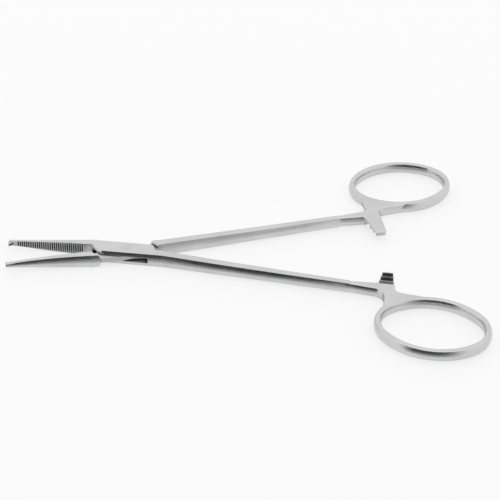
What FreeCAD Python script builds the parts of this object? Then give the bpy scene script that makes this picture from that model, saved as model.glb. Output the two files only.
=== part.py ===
import FreeCAD, Part
import math
import os
import Sketcher

# Straight haemostatic forceps: box lock, cross-serrated jaws with 1x2 teeth, finger rings and a ratchet.
# X runs along the instrument, from the jaw tips (-X) to the rings (+X), and Z is up from the underside.
# The origin is the centre of the pivot pin, at the underside of the box lock.
# Each half is drawn closed, with the jaws together on the X axis, and its Placement opens it to rest.
# Plan sizes are (along, out): "along" is X, and "out" goes from the X axis towards the half's own ring,
# so that its jaw, which crosses over at the lock, lies at negative "out". Lengths are in millimetres.

SIZES = {
    "rest_half_angle": (8.9, "angle each half is opened from closed, in degrees"),
    "box_thickness": (3.5, "thickness of the box lock"),
    "box_half_width": (2.35, "half the width of the box lock"),
    "plate_thickness": (1.05, "top and bottom plate of the box"),
    "tongue_clearance": (0.05, "gap between the tongue and each plate"),
    "side_round": (0.45, "how far the sides of the lock bulge"),
    "root_round": (0.43, "how far the outer sides of jaw and shank bulge where they join the lock"),
    "front_inner": (9.0, "where the front ends of the plates meet the centre line"),
    "rear_inner": (7.9, "where the rear ends of the plates meet the centre line"),
    "shoulder_outer": (6.6, "where either end of a plate meets the side of the box"),
    "shoulder_gap": (0.2, "gap along X between a plate's end and the shoulder that faces it"),
    "front_side_gap": (0.9, "the same gap at the side of the box, at the jaw"),
    "shoulder_chamfer": (0.35, "chamfer along a shoulder"),
    "slot_end": (6.15, "where the open side of the slot ends"),
    "slot_front": (9.2, "where the slot's front wall meets the centre line"),
    "slot_rear": (8.1, "where the slot's rear wall meets the centre line"),
    "tongue_end_gap": (0.7, "gap along X between the tongue and the slot's end wall"),
    "tongue_nose": (0.25, "how far the tongue's end at the X axis stays back from the shoulder"),
    "lock_overrun": (1.0, "how far a cut runs past what it cuts"),
    "root_at": (9.4, "where jaw and shank start inside the block of the lock, distance from the pin"),
    "root_overlap": (0.1, "how far the block runs on past that"),
    "pin_radius": (0.95, "pivot pin"),
    "pin_running_gap": (0.03, "radial gap between the pin and the tongue"),
    "pin_head_radius": (1.25, "widest part of the pin's countersunk ends"),
    "pin_head_depth": (0.3, "depth of the countersunk ends"),
    "jaw_length": (31.2, "from the pin to the jaw tips"),
    "jaw_gap": (0.1, "gap between the closed jaws"),
    "jaw_root_flat": (2.28, "width of the jaw's flat top at its root"),
    "jaw_middle_at": (19.0, "jaw section at mid length, distance from the pin"),
    "jaw_middle_height": (2.75, "its height"),
    "jaw_middle_flat": (1.35, "width of its flat top"),
    "jaw_middle_round": (0.42, "how far its back bulges"),
    "jaw_tip_height": (1.1, "height of the jaw at the tip"),
    "jaw_tip_flat": (0.85, "width of the flat top at the tip"),
    "jaw_tip_round": (0.3, "how far the back bulges at the tip"),
    "serration_start": (11.8, "first serration, distance from the pin"),
    "serration_spacing": (0.565, "from one serration to the next"),
    "serration_count": (31, "number of serrations on a jaw"),
    "serration_width": (0.48, "width of a serration's mouth"),
    "serration_depth": (0.28, "depth of a serration"),
    "relief_depth": (0.28, "how far the smooth root of the jaw stands back"),
    "tooth_root": (0.2, "how far a tip tooth is rooted in the jaw"),
    "tooth_height": (0.75, "how far a tip tooth stands out"),
    "tooth_length": (1.1, "length of a tip tooth along the jaw"),
    "tooth_crown": (0.2, "length of its crown along the jaw"),
    "tooth_thickness": (0.4, "thickness of the single tooth"),
    "tooth_gap": (0.06, "gap round the single tooth"),
    "notch_length": (1.25, "length of the notch that takes a tooth"),
    "notch_depth": (0.9, "depth of that notch"),
    "shank_root_out": (1.265, "middle of the shank at its root, out from the X axis"),
    "shank_root_flat": (2.13, "width of the shank's flat top at its root"),
    "shank_root_round": (0.1, "how far its inner side bulges there"),
    "shank_middle_at": (40.0, "shank section at mid length"),
    "shank_middle_out": (4.68, "its middle, out from the X axis"),
    "shank_middle_height": (2.85, "its height"),
    "shank_middle_flat": (1.75, "width of its flat top"),
    "shank_middle_round": (0.45, "how far each side bulges"),
    "shank_end_at": (58.0, "shank section where the web takes over"),
    "shank_end_out": (6.6, "its middle, out from the X axis"),
    "shank_end_flat": (1.5, "width of its flat top"),
    "shank_end_round": (0.15, "how far each side bulges"),
    "handle_thickness": (2.7, "thickness of the web, the ring and the shank's end"),
    "ring_at": (79.07, "centre of the ring, distance from the pin"),
    "ring_out": (21.59, "centre of the ring, out from the X axis"),
    "ring_half_length": (13.47, "half length of the ring, to the middle of its bow"),
    "ring_half_width": (10.7, "half width of the ring, to the middle of its bow"),
    "ring_end_radius": (8.6, "radius of the bow round the ring's two ends"),
    "ring_tilt": (5.6, "turn of the ring's long axis, outwards, in degrees"),
    "ring_flat": (1.12, "width of the bow's flat top"),
    "ring_round": (0.37, "how far each side of the bow bulges"),
    "web_start": (56.0, "where the web starts inside the shank"),
    "web_inner": (5.9, "inner edge of the web where it starts, out from the X axis"),
    "web_outer": (7.05, "outer edge of the web where it starts"),
    "web_corner_at": (66.75, "corner between the web and the ring's front"),
    "web_corner_out": (8.8, "the same corner, out from the X axis"),
    "web_front_at": (66.75, "where the web runs into the front of the ring"),
    "web_front_out": (16.9, "the same place, out from the X axis"),
    "web_back_at": (79.5, "where the web runs into the side of the ring"),
    "web_back_out": (10.5, "the same place, out from the X axis"),
    "web_fillet": (2.9, "rounding between the shank and the ring"),
    "bar_fillet": (2.2, "rounding between the ratchet bar and the ring"),
    "bar_front_fillet": (0.5, "rounding between the shank and the ratchet bar"),
    "rim_chamfer": (0.25, "chamfer along the web's rim"),
    "bar_front": (64.7, "front of the ratchet bar at its root"),
    "bar_back": (69.4, "back of the ratchet bar at its root"),
    "bar_front_out": (5.72, "where its front meets the web, out from the X axis"),
    "bar_back_out": (9.1, "where its back meets the web, out from the X axis"),
    "bar_tip_front": (65.9, "front of the ratchet bar at its tip"),
    "bar_tip_back": (68.7, "back of the ratchet bar at its tip"),
    "box_bar_reach": (1.5, "how far the tip of the box half's bar crosses the X axis"),
    "tongue_bar_reach": (2.5, "how far the tip of the tongue half's bar crosses the X axis"),
    "bar_tip_fillet": (0.6, "rounding of the bar's tip in plan"),
    "recess_front": (64.85, "front of the recess in which the ratchet teeth stand"),
    "recess_root": (6.0, "where the bar steps up to full thickness, out from the X axis"),
    "ratchet_gap": (0.1, "gap between the two rows of ratchet teeth"),
    "ratchet_spacing": (1.9, "from one ratchet tooth to the next"),
    "ratchet_depth": (0.9, "depth of the ratchet teeth"),
    "ratchet_lead": (0.35, "from the bar's tip to the first crest"),
    "ratchet_count": (3, "number of ratchet teeth on a bar"),
}

# Sign of Y on the side where each half has its ring

RING_SIDE = {"box_half": -1, "tongue_half": 1}

# How near two places must be to count as the same, when an edge is looked up again

CLOSE = 1e-3


class Size:
    """A length with the spreadsheet expression that it comes from."""

    def __init__(self, value, text):
        self.value = value
        self.text = text

    def joined(self, other, sign, value):
        return Size(value, "(" + self.text + " " + sign + " " + other.text + ")")

    def __add__(self, other):
        other = as_size(other)
        return self.joined(other, "+", self.value + other.value)

    def __sub__(self, other):
        other = as_size(other)
        return self.joined(other, "-", self.value - other.value)

    def __mul__(self, other):
        other = as_size(other)
        return self.joined(other, "*", self.value * other.value)

    def __truediv__(self, other):
        other = as_size(other)
        return self.joined(other, "/", self.value / other.value)

    def __rsub__(self, other):
        return as_size(other) - self

    def __rmul__(self, other):
        return as_size(other) * self

    def __neg__(self):
        return as_size(-1) * self


def as_size(value):
    if isinstance(value, Size):
        return value
    return Size(float(value), repr(float(value)))


def sine(angle):
    return Size(math.sin(math.radians(angle.value)), "sin(" + angle.text + " * 1 deg)")


def cosine(angle):
    return Size(math.cos(math.radians(angle.value)), "cos(" + angle.text + " * 1 deg)")


def write_sheet(doc):
    """Puts the driving sizes in the spreadsheet and returns them by name."""
    sheet = doc.addObject("Spreadsheet::Sheet", "sizes")
    for row, (name, (value, meaning)) in enumerate(SIZES.items(), start=1):
        sheet.set("A%d" % row, meaning)
        sheet.set("B%d" % row, repr(value))
        sheet.setAlias("B%d" % row, name)
    doc.recompute()
    return {name: Size(float(value), "sizes." + name) for name, (value, _) in SIZES.items()}


def origin_plane(body, role):
    return [feature for feature in body.Origin.OriginFeatures if feature.Role == role][0]


def new_sketch(body, name, role, height):
    """A sketch on one of the body's own planes, moved along that plane's normal by height."""
    sketch = body.newObject("Sketcher::SketchObject", name)
    sketch.AttachmentSupport = (origin_plane(body, role), [""])
    sketch.MapMode = "FlatFace"
    height = as_size(height)
    sketch.AttachmentOffset = FreeCAD.Placement(FreeCAD.Vector(0, 0, height.value), FreeCAD.Rotation())
    sketch.setExpression("AttachmentOffset.Base.z", height.text)
    return sketch


def bind(sketch, constraint, size):
    index = sketch.addConstraint(constraint)
    sketch.setExpression("Constraints[%d]" % index, size.text)


def pin_point(sketch, geometry, place, point):
    """Holds one point of a sketch at a place given by two sizes."""
    origin = (-1, 1)
    for direction, distance in zip(("DistanceX", "DistanceY"), point):
        bind(sketch, Sketcher.Constraint(direction, *origin, geometry, place, distance.value), distance)


def draw_arc(sketch, start, end, bulge, radius):
    """An arc that bulges to the right of the way from start to end, held by its ends and its radius."""
    first = FreeCAD.Vector(start[0].value, start[1].value, 0)
    last = FreeCAD.Vector(end[0].value, end[1].value, 0)
    side = (last - first).normalize().cross(FreeCAD.Vector(0, 0, 1))
    crown = (first + last) * 0.5 + side * bulge.value
    number = sketch.addGeometry(Part.Arc(first, crown, last), False)
    drawn_from = sketch.Geometry[number].StartPoint
    swapped = (drawn_from - first).Length > (drawn_from - last).Length
    pin_point(sketch, number, 2 if swapped else 1, start)
    pin_point(sketch, number, 1 if swapped else 2, end)
    bind(sketch, Sketcher.Constraint("Radius", number, radius.value), radius)


def draw_line(sketch, start, end):
    first = FreeCAD.Vector(start[0].value, start[1].value, 0)
    last = FreeCAD.Vector(end[0].value, end[1].value, 0)
    number = sketch.addGeometry(Part.LineSegment(first, last), False)
    pin_point(sketch, number, 1, start)
    pin_point(sketch, number, 2, end)


def draw_outline(sketch, points, bulges=None):
    """A closed outline, anticlockwise. bulges gives, for an edge that is an arc, how far it stands out."""
    points = [(as_size(across), as_size(up)) for across, up in points]
    for number, start in enumerate(points):
        end = points[(number + 1) % len(points)]
        if bulges and number in bulges:
            bulge = bulges[number]
            across, up = end[0] - start[0], end[1] - start[1]
            radius = bulge / 2 + (across * across + up * up) / (8 * bulge)
            draw_arc(sketch, start, end, bulge, radius)
        else:
            draw_line(sketch, start, end)


def draw_oval(sketch, centre, half_length, half_width, end_radius, tilt):
    """An oval of four arcs that run smoothly into each other, with its long axis turned by tilt."""
    lead = half_length - end_radius
    spare = half_width - end_radius
    side_radius = (lead * lead + half_width * half_width - end_radius * end_radius) / (2 * spare)
    along = lead * side_radius / (side_radius - end_radius)
    across = end_radius * (side_radius - half_width) / (side_radius - end_radius)
    joints = []
    for sign_along, sign_across in ((1, -1), (1, 1), (-1, 1), (-1, -1)):
        out_x = sign_along * along * cosine(tilt) - sign_across * across * sine(tilt)
        out_y = sign_along * along * sine(tilt) + sign_across * across * cosine(tilt)
        joints.append((centre[0] + out_x, centre[1] + out_y))
    end_bulge, side_bulge = half_length - along, half_width - across
    draw_arc(sketch, joints[0], joints[1], end_bulge, end_radius)
    draw_arc(sketch, joints[1], joints[2], side_bulge, side_radius)
    draw_arc(sketch, joints[2], joints[3], end_bulge, end_radius)
    draw_arc(sketch, joints[3], joints[0], side_bulge, side_radius)


def pad(body, name, sketch, height):
    feature = body.newObject("PartDesign::Pad", name)
    feature.Profile = sketch
    feature.setExpression("Length", as_size(height).text)
    body.Document.recompute()
    return feature


def pocket(body, name, sketch, depth):
    """Cuts along the sketch's own normal, and makes sure that it did cut."""
    before = body.Shape.Volume
    feature = body.newObject("PartDesign::Pocket", name)
    feature.Profile = sketch
    feature.Reversed = True
    feature.setExpression("Length", as_size(depth).text)
    body.Document.recompute()
    if body.Shape.Volume >= before - CLOSE ** 2:
        raise RuntimeError(name + " cuts nothing")
    return feature


def loft(body, name, sections):
    feature = body.newObject("PartDesign::AdditiveLoft", name)
    feature.Profile = sections[0]
    feature.Sections = sections[1:]
    body.Document.recompute()
    return feature


def dress(body, kind, name, edges, size_name, size):
    """A fillet or a chamfer on the named edges of the body's tip."""
    if not edges:
        raise RuntimeError(name + " finds no edges")
    base = body.Tip
    feature = body.newObject(kind, name)
    feature.Base = (base, edges)
    feature.setExpression(size_name, size.text)
    body.Document.recompute()
    return feature


def upright_edges(body, corners, side):
    """Names of the upright edges that stand on the given plan corners."""
    names = []
    for number, edge in enumerate(body.Shape.Edges, start=1):
        ends = [vertex.Point for vertex in edge.Vertexes]
        if len(ends) < 2 or math.hypot(ends[0].x - ends[1].x, ends[0].y - ends[1].y) > CLOSE:
            continue
        for along, out in corners:
            if math.hypot(ends[0].x - along.value, ends[0].y - side * out.value) < CLOSE:
                names.append("Edge%d" % number)
    return names


def is_level(edge, heights):
    """Whether an edge lies flat at one of the given heights."""
    box = edge.BoundBox
    return any(abs(box.ZMin - z.value) < CLOSE and abs(box.ZMax - z.value) < CLOSE for z in heights)


def level_edges(body, heights):
    """Names of the edges that lie flat at one of the given heights."""
    edges = enumerate(body.Shape.Edges, start=1)
    return ["Edge%d" % number for number, edge in edges if is_level(edge, heights)]


def is_circle(body, name):
    return isinstance(body.Shape.getElement(name).Curve, Part.Circle)


def edges_between(body, heights, first, last, side):
    """Names of the straight level edges that lie on the plan line from first to last."""
    start = FreeCAD.Vector(first[0].value, side * first[1].value, 0)
    direction = FreeCAD.Vector(last[0].value, side * last[1].value, 0) - start
    length = direction.Length
    direction.normalize()
    names = []
    for number, edge in enumerate(body.Shape.Edges, start=1):
        on_line = len(edge.Vertexes) == 2
        for vertex in edge.Vertexes:
            flat = FreeCAD.Vector(vertex.Point.x, vertex.Point.y, 0) - start
            along = flat.dot(direction)
            on_line = on_line and (flat - direction * along).Length < CLOSE
            on_line = on_line and -CLOSE < along < length + CLOSE
        if on_line and is_level(edge, heights):
            names.append("Edge%d" % number)
    return names


def to_side(points, side):
    return [(as_size(along), as_size(out) * side) for along, out in points]


def barrel_section(body, name, at, out, flat, inner_bulge, outer_bulge, height, side, size):
    """A section across the shank or the lock: flat above and below, rounded on both sides."""
    sketch = new_sketch(body, name, "YZ_Plane", at)
    middle = size["box_thickness"] / 2
    low, high = middle - height / 2, middle + height / 2
    left, right = out * side - flat / 2, out * side + flat / 2
    corners = [(left, low), (right, low), (right, high), (left, high)]
    bulges = {1: outer_bulge, 3: inner_bulge} if side > 0 else {1: inner_bulge, 3: outer_bulge}
    draw_outline(sketch, corners, bulges)
    return sketch


def jaw_section(body, name, at, flat, bulge, height, side, size):
    """A section across the jaw: a flat biting face, flat top and bottom, and a rounded back."""
    sketch = new_sketch(body, name, "YZ_Plane", -at)
    middle = size["box_thickness"] / 2
    low, high = middle - height / 2, middle + height / 2
    face = size["jaw_gap"] / 2 * -side
    back = face - flat * side
    corners = [(face, low), (back, low), (back, high), (face, high)]
    if side > 0:
        corners = [(face, high), (back, high), (back, low), (face, low)]
    draw_outline(sketch, corners, {1: bulge})
    return sketch


def add_web(body, bar_reach, side, size):
    """The flat web that joins the shank, the ratchet bar and the ring."""
    low = size["box_thickness"] / 2 - size["handle_thickness"] / 2
    high = low + size["handle_thickness"]
    web_corner = (size["web_corner_at"], size["web_corner_out"])
    bar_corner = (size["bar_back"], size["bar_back_out"])
    front_corner = (size["bar_front"], size["bar_front_out"])
    front_tip = (size["bar_tip_front"], -bar_reach)
    back_tip = (size["bar_tip_back"], -bar_reach)
    outline = [
        (size["web_start"], size["web_inner"]),
        front_corner,
        front_tip,
        back_tip,
        bar_corner,
        (size["web_back_at"], size["web_back_out"]),
        (size["ring_at"] - size["ring_half_length"] / 2, size["ring_out"] - size["ring_half_width"] / 2),
        (size["web_front_at"], size["web_front_out"]),
        web_corner,
        (size["web_start"], size["web_outer"]),
    ]
    sketch = new_sketch(body, "web_outline", "XY_Plane", low)
    draw_outline(sketch, to_side(outline, side))
    pad(body, "web", sketch, size["handle_thickness"])
    rounded = {
        "web_fillet": [web_corner],
        "bar_fillet": [bar_corner],
        "bar_front_fillet": [front_corner],
        "bar_tip_fillet": [front_tip, back_tip],
    }
    for name, corners in rounded.items():
        dress(body, "PartDesign::Fillet", name, upright_edges(body, corners, side), "Radius", size[name])
    rim = level_edges(body, [low, high])
    dress(body, "PartDesign::Chamfer", "rim_chamfer", rim, "Size", size["rim_chamfer"])


def draw_bow_line(sketch, side, size):
    """The line that the middle of the ring's bow follows."""
    draw_oval(
        sketch, (size["ring_at"], size["ring_out"] * side), size["ring_half_length"],
        size["ring_half_width"], size["ring_end_radius"], size["ring_tilt"] * side,
    )


def add_ring(body, side, size):
    """The finger ring: its hole is cleared through the web, and its bow is swept round an oval."""
    middle = size["box_thickness"] / 2
    tilt = size["ring_tilt"] * side
    half_flat = size["ring_flat"] / 2
    half_height = size["handle_thickness"] / 2

    hole = new_sketch(body, "ring_hole_outline", "XY_Plane", middle - size["handle_thickness"])
    draw_bow_line(hole, side, size)
    pocket(body, "ring_hole", hole, size["handle_thickness"] * 2)

    path = new_sketch(body, "ring_path", "XY_Plane", middle)
    draw_bow_line(path, side, size)

    far_end_along = size["ring_at"] + size["ring_half_length"] * cosine(tilt)
    far_end_out = size["ring_out"] * side + size["ring_half_length"] * sine(tilt)
    section = new_sketch(body, "ring_section", "XZ_Plane", -far_end_out)
    section.AttachmentOffset = FreeCAD.Placement(
        FreeCAD.Vector(far_end_along.value, middle.value, -far_end_out.value),
        FreeCAD.Rotation(FreeCAD.Vector(0, 1, 0), tilt.value),
    )
    section.setExpression("AttachmentOffset.Base.x", far_end_along.text)
    section.setExpression("AttachmentOffset.Base.y", middle.text)
    section.setExpression("AttachmentOffset.Rotation.Angle", tilt.text)
    corners = [
        (-half_flat, -half_height),
        (half_flat, -half_height),
        (half_flat, half_height),
        (-half_flat, half_height),
    ]
    draw_outline(section, corners, {1: size["ring_round"], 3: size["ring_round"]})
    bow = body.newObject("PartDesign::AdditivePipe", "ring")
    bow.Profile = section
    bow.Spine = (path, ["Edge1", "Edge2", "Edge3", "Edge4"])
    body.Document.recompute()


def add_shank(body, side, size):
    """The tapering shank, from inside the lock to the web."""
    sections = [
        barrel_section(
            body, "shank_root", size["root_at"], size["shank_root_out"], size["shank_root_flat"],
            size["shank_root_round"], size["root_round"], size["box_thickness"], side, size,
        ),
        barrel_section(
            body, "shank_middle", size["shank_middle_at"], size["shank_middle_out"],
            size["shank_middle_flat"], size["shank_middle_round"], size["shank_middle_round"],
            size["shank_middle_height"], side, size,
        ),
        barrel_section(
            body, "shank_end", size["shank_end_at"], size["shank_end_out"], size["shank_end_flat"],
            size["shank_end_round"], size["shank_end_round"], size["handle_thickness"], side, size,
        ),
    ]
    loft(body, "shank", sections)


def add_jaw(body, side, size):
    """The tapering jaw, before its serrations and teeth are cut."""
    sections = [
        jaw_section(
            body, "jaw_root", size["root_at"], size["jaw_root_flat"], size["root_round"],
            size["box_thickness"], side, size,
        ),
        jaw_section(
            body, "jaw_middle", size["jaw_middle_at"], size["jaw_middle_flat"], size["jaw_middle_round"],
            size["jaw_middle_height"], side, size,
        ),
        jaw_section(
            body, "jaw_tip", size["jaw_length"], size["jaw_tip_flat"], size["jaw_tip_round"],
            size["jaw_tip_height"], side, size,
        ),
    ]
    loft(body, "jaw", sections)


def slant(along_inner, along_outer, out, size):
    """Where a line that slants across the lock has got to along X, at a given distance out."""
    return along_inner - (along_inner - along_outer) * out / size["box_half_width"]


def slanted_ends(along_inner, along_outer, size):
    """The ends of such a line, run on past the X axis and past the side of the box."""
    inner_out = -size["lock_overrun"]
    outer_out = size["box_half_width"] + size["lock_overrun"]
    inner = (slant(along_inner, along_outer, inner_out, size), inner_out)
    outer = (slant(along_inner, along_outer, outer_out, size), outer_out)
    return inner, outer


def plate_ends(size):
    """The lines along which the plates of the box end at the shank and at the jaw."""
    rear = slanted_ends(size["rear_inner"], size["shoulder_outer"], size)
    front = slanted_ends(size["front_inner"], size["shoulder_outer"], size)
    return rear, front


def tongue_shoulders(size):
    """The lines along which the tongue's half steps up to full thickness at the shank and at the jaw."""
    gap = size["shoulder_gap"]
    rear = slanted_ends(size["rear_inner"] + gap, size["shoulder_outer"] + gap, size)
    front = slanted_ends(size["front_inner"] + gap, size["shoulder_outer"] + size["front_side_gap"], size)
    return rear, front


def add_block(body, front_near, rear_near, at_side, side, size):
    """The lock's block: a flat-topped barrel along X, trimmed to a slanting line at each end.

    The lines run from front_near and rear_near, beside the X axis, to at_side, on the side of the box, and
    leave the jaw's root and the shank's root standing.
    """
    reach = size["root_at"] + size["root_overlap"]
    width = size["box_half_width"]
    half_gap = size["jaw_gap"] / 2
    over = size["lock_overrun"]
    section = barrel_section(
        body, "block_section", -reach, as_size(0), width * 2, size["side_round"], size["side_round"],
        size["box_thickness"], side, size,
    )
    pad(body, "block", section, reach * 2)
    for name, way, near in (("rear_trim", 1, rear_near), ("front_trim", -1, front_near)):
        end = at_side - (near - at_side) * over / (width + half_gap)
        outline = [
            (near, half_gap),
            (end, -width - over),
            (reach + over, -width - over),
            (reach + over, half_gap),
        ]
        sketch = new_sketch(body, name + "_outline", "XY_Plane", 0)
        draw_outline(sketch, to_side([(along * way, out * way) for along, out in outline], side))
        pocket(body, name, sketch, size["box_thickness"])


def add_box_block(body, side, size):
    """The full block of the box, whose slanting ends are the ends of its two plates."""
    beyond_axis = -size["jaw_gap"] / 2
    front_near = slant(size["front_inner"], size["shoulder_outer"], beyond_axis, size)
    rear_near = slant(size["rear_inner"], size["shoulder_outer"], beyond_axis, size)
    add_block(body, front_near, rear_near, size["shoulder_outer"], side, size)


def add_tongue_block(body, side, size):
    """The block that becomes the tongue, short enough to clear the end walls of the slot, with flat sides."""
    front_near = size["front_inner"] - size["tongue_nose"]
    rear_near = size["rear_inner"] - size["tongue_nose"]
    add_block(body, front_near, rear_near, size["slot_end"] - size["tongue_end_gap"], side, size)
    width = size["box_half_width"]
    over = size["lock_overrun"]
    rear, front = tongue_shoulders(size)
    sides = (
        ("rear_side", 1, size["shoulder_gap"], rear),
        ("front_side", -1, size["front_side_gap"], front),
    )
    for name, way, gap, shoulder in sides:
        outline = [
            (size["shoulder_outer"] + gap, width),
            shoulder[1],
            (-size["root_at"], width + over),
            (-size["root_at"], width),
        ]
        sketch = new_sketch(body, name + "_outline", "XY_Plane", 0)
        draw_outline(sketch, to_side([(along * way, out * way) for along, out in outline], side))
        pocket(body, name, sketch, size["box_thickness"])


def cut_slot(body, side, size):
    """The slot through the middle of the box, in which the tongue turns."""
    rear_inner, rear_outer = slanted_ends(size["slot_rear"], size["slot_end"], size)
    front_inner, front_outer = slanted_ends(size["slot_front"], size["slot_end"], size)
    outline = [
        rear_inner,
        rear_outer,
        (-front_inner[0], rear_outer[1]),
        (-front_inner[0], -front_inner[1]),
        (-front_outer[0], -front_outer[1]),
        (rear_inner[0], -front_outer[1]),
    ]
    sketch = new_sketch(body, "slot_outline", "XY_Plane", size["plate_thickness"])
    draw_outline(sketch, to_side(outline, side))
    pocket(body, "slot", sketch, size["box_thickness"] - size["plate_thickness"] * 2)


def cut_tongue(body, side, size):
    """Thins the block to the tongue, from above and from below, between two slanting shoulders."""
    (rear_inner, rear_outer), (front_inner, front_outer) = tongue_shoulders(size)
    outline = [
        rear_inner,
        rear_outer,
        (-rear_outer[0], rear_outer[1]),
        (-front_inner[0], -front_inner[1]),
        (-front_outer[0], -front_outer[1]),
        (front_outer[0], -front_outer[1]),
    ]
    depth = size["plate_thickness"] + size["tongue_clearance"]
    levels = (("tongue_underside", 0), ("tongue_top", size["box_thickness"] - depth))
    for name, level in levels:
        sketch = new_sketch(body, name + "_outline", "XY_Plane", level)
        draw_outline(sketch, to_side(outline, side))
        pocket(body, name, sketch, depth)


def chamfer_shoulders(body, lines, turned, side, size):
    """Breaks the upper and lower edges of a half's two slanting shoulders, which lie on the given lines.

    turned is 1 if the shoulder at the shank lies on the ring's side of the X axis, and -1 if it doesn't.
    """
    heights = [as_size(0), size["box_thickness"]]
    names = []
    for way, (inner, outer) in zip((1, -1), lines):
        first = (inner[0] * way, inner[1] * way * turned)
        last = (outer[0] * way, outer[1] * way * turned)
        names += edges_between(body, heights, first, last, side)
    dress(body, "PartDesign::Chamfer", "shoulder_chamfer", names, "Size", size["shoulder_chamfer"])


def cut_bore(body, radius, size):
    """The hole for the pivot pin."""
    sketch = new_sketch(body, "bore_outline", "XY_Plane", 0)
    sketch.addGeometry(Part.Circle(FreeCAD.Vector(0, 0, 0), FreeCAD.Vector(0, 0, 1), radius.value), False)
    sketch.addConstraint(Sketcher.Constraint("Coincident", 0, 3, -1, 1))
    bind(sketch, Sketcher.Constraint("Radius", 0, radius.value), radius)
    pocket(body, "bore", sketch, size["box_thickness"])


def countersink_bore(body, size):
    """Widens both ends of the bore for the pin's riveted ends."""
    names = []
    for name in level_edges(body, [as_size(0), size["box_thickness"]]):
        if is_circle(body, name):
            names.append(name)
    base = body.Tip
    sink = body.newObject("PartDesign::Chamfer", "countersink")
    sink.Base = (base, names)
    sink.ChamferType = "Two distances"
    sink.setExpression("Size", size["pin_head_depth"].text)
    sink.setExpression("Size2", (size["pin_head_radius"] - size["pin_radius"]).text)
    body.Document.recompute()


def cut_serrations(body, start, side, size):
    """Cross grooves along the jaw's biting face, one cut and repeated."""
    face = -size["jaw_gap"] / 2
    half = size["serration_width"] / 2
    groove = [
        (-start - half, face),
        (-start, face - size["serration_depth"]),
        (-start + half, face),
        (-start + half, -face),
        (-start - half, -face),
    ]
    sketch = new_sketch(body, "serration_outline", "XY_Plane", 0)
    draw_outline(sketch, to_side(groove, side))
    first = pocket(body, "serration", sketch, size["box_thickness"])
    pattern = body.newObject("PartDesign::LinearPattern", "serrations")
    pattern.Originals = [first]
    pattern.Direction = (origin_plane(body, "X_Axis"), [""])
    pattern.Reversed = True
    pattern.setExpression("Occurrences", size["serration_count"].text)
    pattern.setExpression("Length", (size["serration_spacing"] * (size["serration_count"] - 1)).text)
    body.Tip = pattern
    body.Document.recompute()


def relieve_root(body, side, size):
    """Sets the smooth root of the biting face back from the opposite jaw."""
    face = -size["jaw_gap"] / 2
    back = face - size["relief_depth"]
    front = -size["serration_start"] + size["serration_spacing"]
    rear = -size["front_inner"] - size["shoulder_gap"]
    outline = [
        (front, -face),
        (front, face),
        (front + size["relief_depth"], back),
        (rear, back),
        (rear, -face),
    ]
    sketch = new_sketch(body, "root_relief_outline", "XY_Plane", 0)
    draw_outline(sketch, to_side(outline, side))
    pocket(body, "root_relief", sketch, size["box_thickness"])


def add_tooth(body, name, low, high, side, size):
    """One tooth at the tip, standing on the biting face."""
    tip = -size["jaw_length"]
    face = -size["jaw_gap"] / 2
    outline = [
        (tip, -size["tooth_root"]),
        (tip, size["tooth_height"]),
        (tip + size["tooth_crown"], size["tooth_height"]),
        (tip + size["tooth_length"], face),
        (tip + size["tooth_length"], -size["tooth_root"]),
    ]
    sketch = new_sketch(body, name + "_outline", "XY_Plane", low)
    draw_outline(sketch, to_side(outline, side))
    pad(body, name, sketch, high - low)


def cut_notch(body, name, low, high, side, size):
    """A slanting notch at the tip, which takes a tooth of the other jaw."""
    tip = -size["jaw_length"]
    face = -size["jaw_gap"] / 2
    over = size["lock_overrun"]
    slope = size["notch_length"] / size["notch_depth"]
    outline = [
        (tip + size["notch_length"] + slope * over, face + over),
        (tip - slope * over, face - size["notch_depth"] - over),
        (tip - slope * over, face + over),
    ]
    sketch = new_sketch(body, name + "_outline", "XY_Plane", low)
    draw_outline(sketch, to_side(outline, side))
    pocket(body, name, sketch, high - low)


def cut_ratchet(body, bar_reach, facing, side, size):
    """Thins the ratchet bar to half and cuts its saw teeth. facing is 1 for teeth that face up."""
    middle = size["box_thickness"] / 2
    crest = middle - size["ratchet_gap"] / 2 * facing
    valley = crest - size["ratchet_depth"] * facing
    beyond = middle + size["handle_thickness"] * facing
    first = -bar_reach + size["ratchet_lead"]
    tip = -bar_reach - size["lock_overrun"]
    lead_slope = size["ratchet_depth"] / size["ratchet_spacing"] * facing
    profile = [(tip, beyond), (tip, crest - lead_slope * (first - tip))]
    for tooth in range(int(size["ratchet_count"].value)):
        place = first + size["ratchet_spacing"] * tooth
        profile.append((place, crest))
        profile.append((place, valley))
    profile.append((size["recess_root"], valley))
    profile.append((size["recess_root"], beyond))
    sketch = new_sketch(body, "ratchet_outline", "YZ_Plane", size["recess_front"])
    draw_outline(sketch, [(out * side, height) for out, height in profile])
    pocket(body, "ratchet", sketch, size["ring_at"] - size["recess_front"])


def new_body(doc, label):
    body = doc.addObject("PartDesign::Body", label)
    body.Label = label
    return body


def open_half(body, side, size):
    """Turns a finished half about the pin from closed to the rest pose."""
    turn = size["rest_half_angle"] * side
    rotation = FreeCAD.Rotation(FreeCAD.Vector(0, 0, 1), turn.value)
    body.Placement = FreeCAD.Placement(FreeCAD.Vector(0, 0, 0), rotation)
    body.setExpression("Placement.Rotation.Angle", turn.text)


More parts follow.
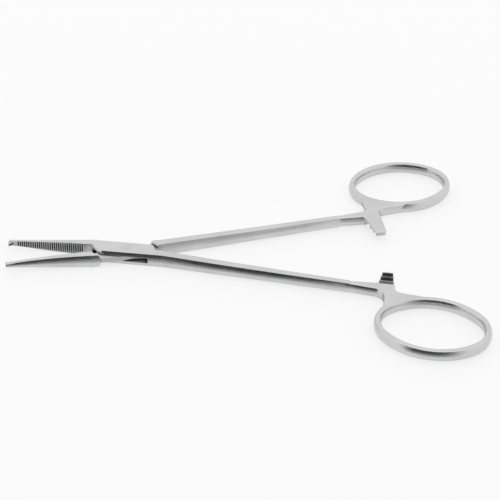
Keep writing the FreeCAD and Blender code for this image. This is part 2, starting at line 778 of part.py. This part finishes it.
def make_box_half(doc, size):
    """The half whose jaw is on the far side: box with its slot, two tip teeth and ratchet teeth facing up."""
    body = new_body(doc, "box_half")
    side = RING_SIDE["box_half"]
    add_box_block(body, side, size)
    chamfer_shoulders(body, plate_ends(size), -1, side, size)
    cut_slot(body, side, size)
    cut_bore(body, size["pin_radius"], size)
    countersink_bore(body, size)
    add_web(body, size["box_bar_reach"], side, size)
    add_ring(body, side, size)
    add_shank(body, side, size)
    add_jaw(body, side, size)
    relieve_root(body, side, size)
    middle = size["box_thickness"] / 2
    half_tooth = size["tooth_thickness"] / 2 + size["tooth_gap"]
    half_tip = size["jaw_tip_height"] / 2 - size["tooth_gap"]
    add_tooth(body, "upper_tooth", middle + half_tooth, middle + half_tip, side, size)
    add_tooth(body, "lower_tooth", middle - half_tip, middle - half_tooth, side, size)
    cut_notch(body, "tooth_notch", middle - half_tooth, middle + half_tooth, side, size)
    cut_ratchet(body, size["box_bar_reach"], 1, side, size)
    cut_serrations(body, size["serration_start"], side, size)
    open_half(body, side, size)
    return body


def make_tongue_half(doc, size):
    """The half whose jaw is on the near side: tongue, one tip tooth and ratchet teeth facing down."""
    body = new_body(doc, "tongue_half")
    side = RING_SIDE["tongue_half"]
    add_tongue_block(body, side, size)
    cut_tongue(body, side, size)
    chamfer_shoulders(body, tongue_shoulders(size), 1, side, size)
    cut_bore(body, size["pin_radius"] + size["pin_running_gap"], size)
    add_web(body, size["tongue_bar_reach"], side, size)
    add_ring(body, side, size)
    add_shank(body, side, size)
    add_jaw(body, side, size)
    relieve_root(body, side, size)
    middle = size["box_thickness"] / 2
    half_tooth = size["tooth_thickness"] / 2
    half_tip = size["jaw_tip_height"] / 2
    beyond = size["jaw_middle_height"] / 2
    add_tooth(body, "single_tooth", middle - half_tooth, middle + half_tooth, side, size)
    cut_notch(body, "upper_notch", middle + half_tooth, middle + beyond, side, size)
    cut_notch(body, "lower_notch", middle - beyond, middle - half_tooth, side, size)
    cut_ratchet(body, size["tongue_bar_reach"], -1, side, size)
    cut_serrations(body, size["serration_start"] + size["serration_spacing"] / 2, side, size)
    open_half(body, side, size)
    return body


def make_pin(doc, size):
    """The pivot pin, riveted into the countersinks of both plates and ground flush with them."""
    body = new_body(doc, "pivot_pin")
    sketch = new_sketch(body, "pin_profile", "XZ_Plane", 0)
    top = size["box_thickness"]
    profile = [
        (0, 0),
        (size["pin_head_radius"], 0),
        (size["pin_radius"], size["pin_head_depth"]),
        (size["pin_radius"], top - size["pin_head_depth"]),
        (size["pin_head_radius"], top),
        (0, top),
    ]
    draw_outline(sketch, profile)
    turned = body.newObject("PartDesign::Revolution", "turned_pin")
    turned.Profile = sketch
    turned.ReferenceAxis = (origin_plane(body, "Z_Axis"), [""])
    turned.Angle = 360
    doc.recompute()
    return body


def check_objects(doc):
    for item in doc.Objects:
        if "Invalid" in item.State or "Error" in item.State:
            raise RuntimeError(item.Name + " failed: " + str(item.State))


def write_steps(bodies):
    os.makedirs("parts", exist_ok=True)
    for body in bodies:
        shape = body.Shape
        if shape.isNull() or not shape.isValid() or len(shape.Solids) != 1:
            raise RuntimeError(body.Label + " is not one valid solid")
        print(body.Label, "volume %.2f" % shape.Volume, "box", shape.BoundBox)
        shape.exportStep(os.path.join("parts", body.Label + ".step"))


document = FreeCAD.newDocument("forceps")
sizes = write_sheet(document)
finished = [make_box_half(document, sizes), make_tongue_half(document, sizes), make_pin(document, sizes)]
document.recompute()
check_objects(document)
write_steps(finished)
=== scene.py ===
import math

import bpy
from mathutils import Matrix, Vector

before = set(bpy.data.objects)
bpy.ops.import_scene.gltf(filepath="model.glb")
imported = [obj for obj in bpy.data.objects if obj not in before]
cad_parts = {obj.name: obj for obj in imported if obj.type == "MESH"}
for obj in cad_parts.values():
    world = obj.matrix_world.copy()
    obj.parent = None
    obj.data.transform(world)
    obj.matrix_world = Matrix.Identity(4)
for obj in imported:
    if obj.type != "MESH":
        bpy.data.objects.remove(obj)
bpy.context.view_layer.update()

# The box half
# One stainless steel forging: the far jaw, the slotted box and the near handle, ring and ratchet bar.
# It is ground along its handle, beaded to a satin finish and tumbled, so that its edges shine; their
# lighter colour is partly wear and partly a painted highlight.

MM = 0.001
HANDLE_ANGLE = math.radians(8.9)
MIDDLE_HEIGHT = 1.75 * MM

STEEL_COLOUR = (0.66, 0.66, 0.665, 1.0)
STEEL_CLOUD = (0.60, 0.60, 0.605, 1.0)
# Lighter steel along the edges: partly wear, partly a painted highlight.
STEEL_WORN_SHEEN = (0.80, 0.80, 0.80, 1.0)
# Painted shade: the near-black colour that grooves, the slot and the gaps between ratchet teeth are
# darkened to.
STEEL_PAINTED_SHADE = (0.035, 0.035, 0.037, 1.0)
STEEL_ROUGHNESS = 0.15
# How strong the painted shade is between this half's ratchet teeth.
BOX_TOOTH_SHADE = 0.85


class Value:
    """A number or vector that varies over a surface: one output of a node, with arithmetic."""

    def __init__(self, maker, link):
        self.maker = maker
        self.link = link

    def math(self, operation, first, second):
        return self.maker.node("ShaderNodeMath", {"operation": operation}, {0: first, 1: second})

    def __add__(self, other):
        return self.math("ADD", self, other)

    def __radd__(self, other):
        return self.math("ADD", other, self)

    def __sub__(self, other):
        return self.math("SUBTRACT", self, other)

    def __rsub__(self, other):
        return self.math("SUBTRACT", other, self)

    def __mul__(self, other):
        return self.math("MULTIPLY", self, other)

    def __rmul__(self, other):
        return self.math("MULTIPLY", other, self)

    def __truediv__(self, other):
        return self.math("DIVIDE", self, other)

    def __rtruediv__(self, other):
        return self.math("DIVIDE", other, self)

    def between(self, low, high):
        """0 up to low, 1 from high, and smooth in between."""
        return self.maker.node(
            "ShaderNodeMapRange", {"interpolation_type": "SMOOTHSTEP"},
            {"Value": self, "From Min": low, "From Max": high},
        )

    def axis(self, name):
        """The X, Y or Z of a vector."""
        return self.maker.node("ShaderNodeSeparateXYZ", {}, {"Vector": self}, name)


class Finish:
    """A material or world whose nodes are made one by one, by type, settings and sockets' values."""

    def __init__(self, owner):
        self.owner = owner
        owner.use_nodes = True
        self.tree = owner.node_tree
        self.tree.nodes.clear()

    def node(self, kind, settings, sockets, output=0):
        made = self.tree.nodes.new(kind)
        for name, value in settings.items():
            setattr(made, name, value)
        for socket, value in sockets.items():
            if isinstance(value, Value):
                self.tree.links.new(value.link, made.inputs[socket])
            else:
                made.inputs[socket].default_value = value
        return Value(self, made.outputs[output] if made.outputs else None)

    def mix_colours(self, factor, first, second):
        """From first at 0 to second at 1, through a Mix node's colour sockets 6, 7 and 2."""
        return self.node(
            "ShaderNodeMix", {"data_type": "RGBA"}, {"Factor": factor, 6: first, 7: second}, 2
        )

    def mix_vectors(self, factor, first, second):
        """From first at 0 to second at 1, through a Mix node's vector sockets 4, 5 and 1."""
        return self.node(
            "ShaderNodeMix", {"data_type": "VECTOR"}, {"Factor": factor, 4: first, 5: second}, 1
        )

    def openness(self, reach, only_local):
        """1 on open faces, down to 0 where other faces within reach close them in."""
        return self.node(
            "ShaderNodeAmbientOcclusion", {"only_local": only_local, "samples": OPENNESS_SAMPLES},
            {"Distance": reach}, "AO",
        )


# Where each part of a half starts or ends, from the pin along its handle and across from there.
HANDLE_STARTS = (7.0 * MM, 9.0 * MM)
RING_STARTS = (54.0 * MM, 60.0 * MM)
RATCHET_STARTS = (60.0 * MM, 63.0 * MM)
RATCHET_ROOT = (4.6 * MM, 5.8 * MM)

GRAIN_STRETCH = (30.0, 1.0, 1.0)
GRAIN = {"Scale": 5200.0, "Detail": 3.0}
SCRATCHES = {"Scale": 1500.0, "Detail": 2.0}
BEADING = {"Scale": 9000.0, "Detail": 1.0}
CLOUDS = {"Scale": 130.0, "Detail": 3.0}
CLOUD_RANGE = (0.3, 0.75)
GRAIN_HEIGHT, SCRATCH_HEIGHT, BEADING_HEIGHT = 0.6, 0.4, 0.5
BUMP = {"Strength": 0.22, "Distance": 0.04 * MM}
# The third value roughens the steel where shade is painted into grooves, the slot and between teeth.
SCRATCH_ROUGHNESS, CLOUD_ROUGHNESS, SHADE_ROUGHNESS, EDGE_POLISH = 0.12, 0.06, 0.2, 0.08

# The ground edges are broken by a hair, and the ring's bow is well rounded and crowned for the fingers.
EDGE_RADIUS = 0.10 * MM
EDGE_SAMPLES = 6
EDGE_TURN = (0.8, 0.99)
# How far the edges are lightened, partly for wear and partly as a painted highlight.
EDGE_WEAR_AND_SHEEN = 0.4
RING_ROUNDING = 0.35 * MM
RING_SAMPLES = 12
RING_HALF_HEIGHT = 1.35 * MM
RING_CROWN = 0.58
STEEP = (0.3, 0.7)

# Painted shade: grooves, the slot and the gaps between teeth are shut in, so their colour is darkened
# where other faces close them in.
OPENNESS_SAMPLES = 8
GROOVE_WIDTH = 0.35 * MM
GROOVE_OPENNESS = (0.4, 0.9)
HOLLOW_WIDTH = 1.8 * MM
HOLLOW_OPENNESS = (0.25, 0.7)
TOOTH_OPENNESS = (0.4, 0.9)
SLOT_REACH = 0.9 * MM
SLOT_OPENNESS = (0.45, 0.9)
SLOT_HALF_HEIGHT = (0.72 * MM, 0.85 * MM)


def satin_steel(name, side, colour, roughness, tooth_shade):
    """Satin steel for the half whose handle is on that side of the middle, -1 or 1.

    Its last argument says how dark the painted shade in the gaps between its ratchet's teeth is, from 0
    to 1.
    """
    steel = Finish(bpy.data.materials.new(name))
    place = steel.node("ShaderNodeTexCoord", {}, {}, "Object")
    handle = {"Vector": place, "Rotation": (0.0, 0.0, side * HANDLE_ANGLE)}
    on_handle = steel.node("ShaderNodeMapping", {"vector_type": "TEXTURE"}, handle)
    along = steel.node(
        "ShaderNodeMapping", {"vector_type": "TEXTURE"}, handle | {"Scale": GRAIN_STRETCH}
    )
    grain = steel.node("ShaderNodeTexNoise", {}, {"Vector": along} | GRAIN, "Fac")
    scratches = steel.node("ShaderNodeTexNoise", {}, {"Vector": along} | SCRATCHES, "Fac")
    beading = steel.node("ShaderNodeTexNoise", {}, {"Vector": place} | BEADING, "Fac")
    clouds = steel.node("ShaderNodeTexNoise", {}, {"Vector": place} | CLOUDS, "Fac")

    length = on_handle.axis("X")
    width = on_handle.axis("Y") * side
    height = place.axis("Z") - MIDDLE_HEIGHT
    lock = 1.0 - length.between(*HANDLE_STARTS)
    ratchet = length.between(*RATCHET_STARTS) * (1.0 - width.between(*RATCHET_ROOT))
    ring = length.between(*RING_STARTS) * (1.0 - ratchet)

    sharp = steel.node("ShaderNodeBevel", {"samples": EDGE_SAMPLES}, {"Radius": EDGE_RADIUS})
    soft = steel.node("ShaderNodeBevel", {"samples": RING_SAMPLES}, {"Radius": RING_ROUNDING})
    rise = soft.axis("Z")
    wall = 1.0 - (rise * rise).between(*STEEP)
    crown = height * (RING_CROWN / RING_HALF_HEIGHT) - rise
    upwards = steel.node("ShaderNodeCombineXYZ", {}, {"Z": crown * wall})
    crowned = steel.node("ShaderNodeVectorMath", {"operation": "ADD"}, {0: soft, 1: upwards})
    rounded = steel.node(
        "ShaderNodeVectorMath", {"operation": "NORMALIZE"},
        {0: steel.mix_vectors(ring, sharp, crowned)},
    )
    flat = steel.node("ShaderNodeNewGeometry", {}, {}, "Normal")
    turned = steel.node(
        "ShaderNodeVectorMath", {"operation": "DOT_PRODUCT"}, {0: sharp, 1: flat}, "Value"
    )
    edge = 1.0 - turned.between(*EDGE_TURN)

    # Painted shade: masks for grooves, the slot between the plates and the gaps between the ratchet's
    # teeth.
    groove_open = steel.openness(GROOVE_WIDTH, only_local=True).between(*GROOVE_OPENNESS)
    hollow = steel.openness(HOLLOW_WIDTH, only_local=True)
    groove_shade = (1.0 - groove_open * hollow.between(*HOLLOW_OPENNESS)) * lock
    slot_open = steel.openness(SLOT_REACH, only_local=False).between(*SLOT_OPENNESS)
    low, high = SLOT_HALF_HEIGHT
    slot_shade = (1.0 - slot_open) * (1.0 - (height * height).between(low ** 2, high ** 2)) * lock
    teeth_shade = ratchet * (1.0 - hollow.between(*TOOTH_OPENNESS)) * tooth_shade
    painted_shade = groove_shade + slot_shade + teeth_shade

    bare = steel.mix_colours(clouds.between(*CLOUD_RANGE), colour, STEEL_CLOUD)
    # The edges are lightened in colour, partly for wear and partly as a painted highlight.
    worn_and_sheen = steel.mix_colours(edge * EDGE_WEAR_AND_SHEEN, bare, STEEL_WORN_SHEEN)
    relief = grain * GRAIN_HEIGHT + scratches * SCRATCH_HEIGHT + beading * BEADING_HEIGHT
    # Painted shade darkens the base colour in the grooves, the slot and between the ratchet's teeth.
    shader = steel.node(
        "ShaderNodeBsdfPrincipled", {},
        {
            "Base Color": steel.mix_colours(painted_shade, worn_and_sheen, STEEL_PAINTED_SHADE),
            "Metallic": 1.0,
            "Roughness": roughness + scratches * SCRATCH_ROUGHNESS + clouds * CLOUD_ROUGHNESS
            + painted_shade * SHADE_ROUGHNESS - edge * EDGE_POLISH,
            "Normal": steel.node("ShaderNodeBump", {}, {"Height": relief, "Normal": rounded} | BUMP),
        },
    )
    steel.node("ShaderNodeOutputMaterial", {}, {"Surface": shader})
    return steel.owner


def dress(piece, material):
    piece.data.materials.clear()
    piece.data.materials.append(material)


dress(
    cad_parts["box_half"],
    satin_steel("box_half_steel", -1, STEEL_COLOUR, STEEL_ROUGHNESS, BOX_TOOTH_SHADE),
)

# The tongue half
# One forging of the same steel: the near jaw, the tongue through the box, and the far handle, ring and
# ratchet bar, whose teeth face down. It has the same finish, with the grain along its own handle.

# Faint painted shade between its ratchet's teeth, which face down.
TONGUE_TOOTH_SHADE = 0.2

dress(
    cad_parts["tongue_half"],
    satin_steel("tongue_half_steel", 1, STEEL_COLOUR, STEEL_ROUGHNESS, TONGUE_TOOTH_SHADE),
)

# The pivot pin
# A drawn steel rod, riveted into countersinks in both plates of the box and ground flush with them,
# so that it shows only as a faint disc of slightly duller steel.

PIN_COLOUR = (0.60, 0.60, 0.605, 1.0)
PIN_ROUGHNESS = 0.23

dress(
    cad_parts["pivot_pin"],
    satin_steel("pivot_pin_steel", -1, PIN_COLOUR, PIN_ROUGHNESS, tooth_shade=0.0),
)

# The table
# A white lacquered board under the instrument. It looks nearly white, also in the steel, and keeps a
# soft, faint shadow. Where the steel sees it at a low angle, its lacquer mirrors what stands beyond.

TABLE_SIZE = 6.0
TABLE_COLOUR = (0.92, 0.92, 0.92, 1.0)
TABLE_ROUGHNESS = 0.5
TABLE_WHITENING = 0.72
LACQUER_ROUGHNESS = 0.2
WHITE = (1.0, 1.0, 1.0, 1.0)


def sheet(name, points, faces, material):
    """A thin mesh of one material, linked to the scene."""
    mesh = bpy.data.meshes.new(name)
    mesh.from_pydata(points, [], faces)
    mesh.materials.append(material)
    made = bpy.data.objects.new(name, mesh)
    bpy.context.scene.collection.objects.link(made)
    return made


board = Finish(bpy.data.materials.new("white_board"))
seen = board.node("ShaderNodeLightPath", {}, {}, "Is Camera Ray")
mirrored = board.node("ShaderNodeLightPath", {}, {}, "Is Glossy Ray")
through = board.node("ShaderNodeLightPath", {}, {}, "Is Transmission Ray")
matt = board.node(
    "ShaderNodeBsdfPrincipled", {}, {"Base Color": TABLE_COLOUR, "Roughness": TABLE_ROUGHNESS}
)
white = board.node("ShaderNodeEmission", {}, {"Color": WHITE, "Strength": 1.0})
whitened = board.node(
    "ShaderNodeMixShader", {},
    {"Fac": (seen + mirrored + through) * TABLE_WHITENING, 1: matt, 2: white},
)
grazing = board.node("ShaderNodeLayerWeight", {}, {}, "Facing")
lacquer = board.node(
    "ShaderNodeBsdfAnisotropic", {}, {"Color": WHITE, "Roughness": LACQUER_ROUGHNESS}
)
lacquered = board.node(
    "ShaderNodeMixShader", {}, {"Fac": grazing * (1.0 - seen), 1: whitened, 2: lacquer}
)
board.node("ShaderNodeOutputMaterial", {}, {"Surface": lacquered})

reach = TABLE_SIZE / 2
table_corners = [(-reach, -reach, 0), (reach, -reach, 0), (reach, reach, 0), (-reach, reach, 0)]
table = sheet("table", table_corners, [(0, 1, 2, 3)], board.owner)

# The dark card
# A curved card of black felt in front of the instrument, hidden from the camera. The steel mirrors it
# as the dark line under each top edge, which softens where the felt thins out at its ends and top.

CARD_DISTANCE = 1.5
CARD_HALF_WIDTH = math.radians(65.0)
CARD_TOP_FADE = tuple(CARD_DISTANCE * math.tan(math.radians(rise)) for rise in (32.0, 46.0))
CARD_LEFT_FADE = tuple(math.tan(math.radians(bearing)) for bearing in (-60.0, -38.0))
CARD_RIGHT_FADE = tuple(math.tan(math.radians(bearing)) for bearing in (5.0, 48.0))
CARD_STRIPS = 26
FELT_COLOUR = (0.02, 0.02, 0.02, 1.0)
FELT_ROUGHNESS = 0.9

felt = Finish(bpy.data.materials.new("black_felt"))
spot = felt.node("ShaderNodeTexCoord", {}, {}, "Object")
sideways = spot.axis("X") / (0.0 - spot.axis("Y"))
solid = (
    sideways.between(*CARD_LEFT_FADE) * (1.0 - sideways.between(*CARD_RIGHT_FADE))
    * (1.0 - spot.axis("Z").between(*CARD_TOP_FADE))
)
black = felt.node(
    "ShaderNodeBsdfPrincipled", {}, {"Base Color": FELT_COLOUR, "Roughness": FELT_ROUGHNESS}
)
clear = felt.node("ShaderNodeBsdfTransparent", {}, {})
faded = felt.node("ShaderNodeMixShader", {}, {"Fac": solid, 1: clear, 2: black})
felt.node("ShaderNodeOutputMaterial", {}, {"Surface": faded})

card_points = []
for step in range(CARD_STRIPS + 1):
    bearing = CARD_HALF_WIDTH * (2 * step / CARD_STRIPS - 1)
    foot = (CARD_DISTANCE * math.sin(bearing), -CARD_DISTANCE * math.cos(bearing))
    card_points += [(*foot, 0.0), (*foot, CARD_TOP_FADE[1])]
card_faces = [(2 * n, 2 * n + 2, 2 * n + 3, 2 * n + 1) for n in range(CARD_STRIPS)]
card = sheet("dark_card", card_points, card_faces, felt.owner)
card.visible_camera = False

# The light
# A white room all round, and a wide soft box overhead that adds a little to it.

ROOM_LEVEL = 0.96
SOFT_BOX_SIZE = 1.6
SOFT_BOX_PLACE = (0.0, 0.15, 1.2)
SOFT_BOX_POWER = 1.5

lamp = bpy.data.lights.new("soft_box", "AREA")
lamp.shape = "SQUARE"
lamp.size = SOFT_BOX_SIZE
lamp.energy = SOFT_BOX_POWER
soft_box = bpy.data.objects.new("soft_box", lamp)
soft_box.location = SOFT_BOX_PLACE
bpy.context.scene.collection.objects.link(soft_box)

room = Finish(bpy.data.worlds.new("white_room"))
air = room.node("ShaderNodeBackground", {}, {"Color": WHITE, "Strength": ROOM_LEVEL})
room.node("ShaderNodeOutputWorld", {}, {"Surface": air})
bpy.context.scene.world = room.owner

# The camera
# It looks down across the shanks, from the side of the box half's ring, with a long lens.

CAMERA_AZIMUTH = math.radians(3.157)
CAMERA_ELEVATION = math.radians(33.0)
CAMERA_ROLL = math.radians(1.595)
CAMERA_DISTANCE = 406.4 * MM
LENS_PIXELS = 1550.4
FRAME_PIXELS = 500
SENSOR_WIDTH = 36.0
AIM = Vector((31.98 * MM, 4.11 * MM, 0.0))

forward = Vector((
    math.sin(CAMERA_AZIMUTH) * math.cos(CAMERA_ELEVATION),
    math.cos(CAMERA_AZIMUTH) * math.cos(CAMERA_ELEVATION),
    -math.sin(CAMERA_ELEVATION),
))
level_right = Vector((math.cos(CAMERA_AZIMUTH), -math.sin(CAMERA_AZIMUTH), 0.0))
level_up = level_right.cross(forward)
right = level_right * math.cos(CAMERA_ROLL) + level_up * math.sin(CAMERA_ROLL)
up = level_up * math.cos(CAMERA_ROLL) - level_right * math.sin(CAMERA_ROLL)
turn = Matrix((right, up, -forward)).transposed()
camera_data = bpy.data.cameras.new("camera")
camera_data.sensor_width = SENSOR_WIDTH
camera_data.lens = LENS_PIXELS * SENSOR_WIDTH / FRAME_PIXELS
camera = bpy.data.objects.new("camera", camera_data)
camera.matrix_world = Matrix.Translation(AIM - forward * CAMERA_DISTANCE) @ turn.to_4x4()
bpy.context.scene.collection.objects.link(camera)
bpy.context.scene.camera = camera
bpy.context.scene.view_settings.view_transform = "Standard"
